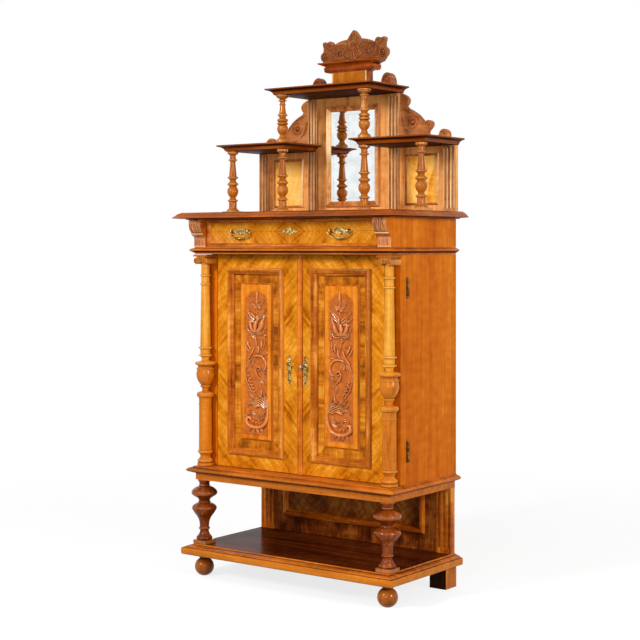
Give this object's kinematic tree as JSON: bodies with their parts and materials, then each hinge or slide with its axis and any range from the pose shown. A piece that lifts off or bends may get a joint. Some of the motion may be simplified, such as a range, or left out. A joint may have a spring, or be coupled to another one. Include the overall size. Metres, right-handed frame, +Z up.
{
  "type": "vertiko cabinet",
  "caption": "Tall period cabinet with doors and columns on an open stand, a drawer with bail handles, and a mirrored gallery of small shelves on turned balusters under a carved crest.",
  "frame": {"origin": "on the floor under the middle of the bounding box", "axes": "+X to the right as seen from the front, the front faces -Y, +Z up"},
  "size_m": [1.03, 0.507, 2.128],
  "materials": {
    "honey_veneer": "figured honey walnut veneer, shellac polish",
    "walnut": "reddish brown stained solid wood, polished",
    "dark_walnut": "dark red-brown board, polished",
    "carved_walnut": "carved solid wood, satin",
    "pine": "plain softwood, unpolished",
    "aged_brass": "aged brass",
    "lock_steel": "worn steel",
    "mirror": "silvered glass"
  },
  "bodies": {
    "carcase": {"ball_foot_left": "walnut", "ball_foot_right": "walnut", "base_shelf": "dark_walnut", "front_leg_left": "walnut", "front_leg_right": "walnut", "back_leg_left": "walnut", "back_leg_right": "walnut", "lower_back_panel": "walnut", "carcase_bottom": "walnut", "side_panel_left": "honey_veneer", "side_panel_right": "honey_veneer", "carcase_back": "pine", "inner_shelf": "pine", "drawer_board": "walnut", "drawer_case_left": "honey_veneer", "drawer_case_right": "honey_veneer", "corbel_left": "walnut", "corbel_right": "walnut", "top_board": "walnut", "left_upper_hinge_carcase_leaf": "aged_brass", "left_lower_hinge_carcase_leaf": "aged_brass", "right_upper_hinge_carcase_leaf": "aged_brass", "right_lower_hinge_carcase_leaf": "aged_brass", "gallery_back": "walnut", "mirror_glass": "mirror", "mirror_frame": "walnut", "inner_baluster_left": "walnut", "inner_baluster_right": "walnut", "outer_baluster_left": "walnut", "outer_baluster_right": "walnut", "side_shelf_left": "walnut", "side_shelf_right": "walnut", "upper_baluster_left": "walnut", "upper_baluster_right": "walnut", "scroll_bracket_left": "carved_walnut", "scroll_bracket_right": "carved_walnut", "top_shelf": "walnut", "crown_pedestal": "walnut", "crown_crest": "carved_walnut"},
    "left_door": {"left_door_frame": "honey_veneer", "left_door_panel": "carved_walnut", "left_door_moulding": "walnut", "left_column": "walnut", "left_upper_hinge_door_leaf": "aged_brass", "left_lower_hinge_door_leaf": "aged_brass"},
    "right_door": {"right_door_frame": "honey_veneer", "right_door_panel": "carved_walnut", "right_door_moulding": "walnut", "right_column": "walnut", "right_upper_hinge_door_leaf": "aged_brass", "right_lower_hinge_door_leaf": "aged_brass", "closing_strip": "walnut"},
    "door_key": {"door_key": "lock_steel"},
    "lock_bolt": {"lock_bolt": "lock_steel"},
    "drawer": {"drawer_front": "honey_veneer", "drawer_box": "pine", "handle_plate_left": "aged_brass", "handle_plate_right": "aged_brass"},
    "bail_left": {"bail_left": "aged_brass"},
    "bail_right": {"bail_right": "aged_brass"}
  },
  "joints": [
    {"name": "left_door_hinge", "type": "hinge", "parent": "carcase", "child": "left_door", "pos_m": [-0.4654, -0.0835, 0.8355], "axis": [0, 0, -1], "range_deg": [0, 150]},
    {"name": "right_door_hinge", "type": "hinge", "parent": "carcase", "child": "right_door", "pos_m": [0.4654, -0.0835, 0.8355], "axis": [0, 0, 1], "range_deg": [0, 150]},
    {"name": "key_turn", "type": "hinge", "parent": "right_door", "child": "door_key", "pos_m": [0.038, -0.1245, 0.829], "axis": [0, -1, 0], "range_deg": [0, 360]},
    {"name": "bolt_throw", "type": "slide", "parent": "right_door", "child": "lock_bolt", "axis": [-1, 0, 0], "range_m": [0, 0.0095]},
    {"name": "drawer_slide", "type": "slide", "parent": "carcase", "child": "drawer", "axis": [0, -1, 0], "range_m": [0, 0.28]},
    {"name": "left_bail_swing", "type": "hinge", "parent": "drawer", "child": "bail_left", "pos_m": [-0.232, -0.1863, 1.3325], "axis": [-1, 0, 0], "range_deg": [-10, 100]},
    {"name": "right_bail_swing", "type": "hinge", "parent": "drawer", "child": "bail_right", "pos_m": [0.232, -0.1863, 1.3325], "axis": [-1, 0, 0], "range_deg": [-10, 100]}
  ],
  "couplings": [
    {"joint": "bolt_throw", "follows": "key_turn", "m_per_rad": 0.00127}
  ]
}
